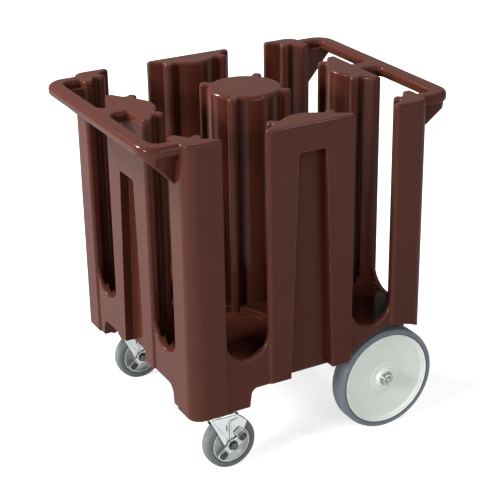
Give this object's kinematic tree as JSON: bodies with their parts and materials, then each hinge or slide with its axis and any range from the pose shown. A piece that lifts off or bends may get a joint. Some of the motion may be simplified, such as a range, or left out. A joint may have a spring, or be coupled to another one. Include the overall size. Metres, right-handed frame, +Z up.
{
  "type": "plate dispenser cart",
  "caption": "Moulded plate cart: open ribbed wells hold stacks of plates, with push handles at both ends, large fixed-axle wheels at one end and braked swivel casters at the other.",
  "frame": {"origin": "on the floor, under the middle of the body", "axes": "+X from the casters to the large wheels, +Y from front to back, +Z up"},
  "size_m": [0.76, 0.594, 0.806],
  "materials": {
    "brown_moulding": "satin moulded polyethylene",
    "wheel_hub_plastic": "satin moulded plastic",
    "wheel_tyre_rubber": "matt rubber",
    "caster_tyre_rubber": "matt rubber",
    "caster_hub_plastic": "satin moulded plastic",
    "bearing_plastic": "plain nylon",
    "bright_zinc": "bright zinc plate",
    "plated_steel": "zinc plate",
    "bright_cap": "bright plate",
    "pad_rubber": "matt rubber"
  },
  "bodies": {
    "cart": {"body_moulding": "brown_moulding", "wheel_axle": "plated_steel", "front_wheel_washer": "plated_steel", "back_wheel_washer": "plated_steel", "front_wheel_cap": "bright_cap", "back_wheel_cap": "bright_cap", "front_caster_plate": "plated_steel", "front_caster_plate_bolts": "plated_steel", "front_caster_kingpin": "plated_steel", "back_caster_plate": "plated_steel", "back_caster_plate_bolts": "plated_steel", "back_caster_kingpin": "plated_steel"},
    "front_wheel": {"front_wheel_hub": "wheel_hub_plastic", "front_wheel_tyre": "wheel_tyre_rubber", "front_wheel_bush": "bearing_plastic"},
    "front_caster_swivel": {"front_caster_fork": "bright_zinc", "front_caster_balls": "plated_steel", "front_caster_axle_bolt": "plated_steel", "front_caster_axle_washer": "plated_steel", "front_caster_axle_nut": "plated_steel"},
    "front_caster_wheel": {"front_caster_hub": "caster_hub_plastic", "front_caster_tyre": "caster_tyre_rubber", "front_caster_bearing": "bearing_plastic"},
    "front_brake": {"front_caster_brake_lever": "bright_zinc", "front_caster_brake_pads": "pad_rubber"},
    "back_wheel": {"back_wheel_hub": "wheel_hub_plastic", "back_wheel_tyre": "wheel_tyre_rubber", "back_wheel_bush": "bearing_plastic"},
    "back_caster_swivel": {"back_caster_fork": "bright_zinc", "back_caster_balls": "plated_steel", "back_caster_axle_bolt": "plated_steel", "back_caster_axle_washer": "plated_steel", "back_caster_axle_nut": "plated_steel"},
    "back_caster_wheel": {"back_caster_hub": "caster_hub_plastic", "back_caster_tyre": "caster_tyre_rubber", "back_caster_bearing": "bearing_plastic"},
    "back_brake": {"back_caster_brake_lever": "bright_zinc", "back_caster_brake_pads": "pad_rubber"}
  },
  "joints": [
    {"name": "front_wheel_spin", "type": "hinge", "parent": "cart", "child": "front_wheel", "pos_m": [0.216, -0.2585, 0.127], "axis": [0, 1, 0], "continuous": true},
    {"name": "front_caster_turn", "type": "hinge", "parent": "cart", "child": "front_caster_swivel", "pos_m": [-0.2265, -0.242, 0.15], "axis": [0, 0, 1], "continuous": true},
    {"name": "front_caster_spin", "type": "hinge", "parent": "front_caster_swivel", "child": "front_caster_wheel", "pos_m": [-0.1885, -0.242, 0.0635], "axis": [0, 1, 0], "continuous": true},
    {"name": "front_brake_rock", "type": "hinge", "parent": "front_caster_swivel", "child": "front_brake", "pos_m": [-0.1885, -0.242, 0.0635], "axis": [0, 1, 0], "range_deg": [0, 20]},
    {"name": "back_wheel_spin", "type": "hinge", "parent": "cart", "child": "back_wheel", "pos_m": [0.216, 0.2585, 0.127], "axis": [0, 1, 0], "continuous": true},
    {"name": "back_caster_turn", "type": "hinge", "parent": "cart", "child": "back_caster_swivel", "pos_m": [-0.2265, 0.242, 0.15], "axis": [0, 0, 1], "continuous": true},
    {"name": "back_caster_spin", "type": "hinge", "parent": "back_caster_swivel", "child": "back_caster_wheel", "pos_m": [-0.1885, 0.242, 0.0635], "axis": [0, 1, 0], "continuous": true},
    {"name": "back_brake_rock", "type": "hinge", "parent": "back_caster_swivel", "child": "back_brake", "pos_m": [-0.1885, 0.242, 0.0635], "axis": [0, 1, 0], "range_deg": [0, 20]}
  ]
}
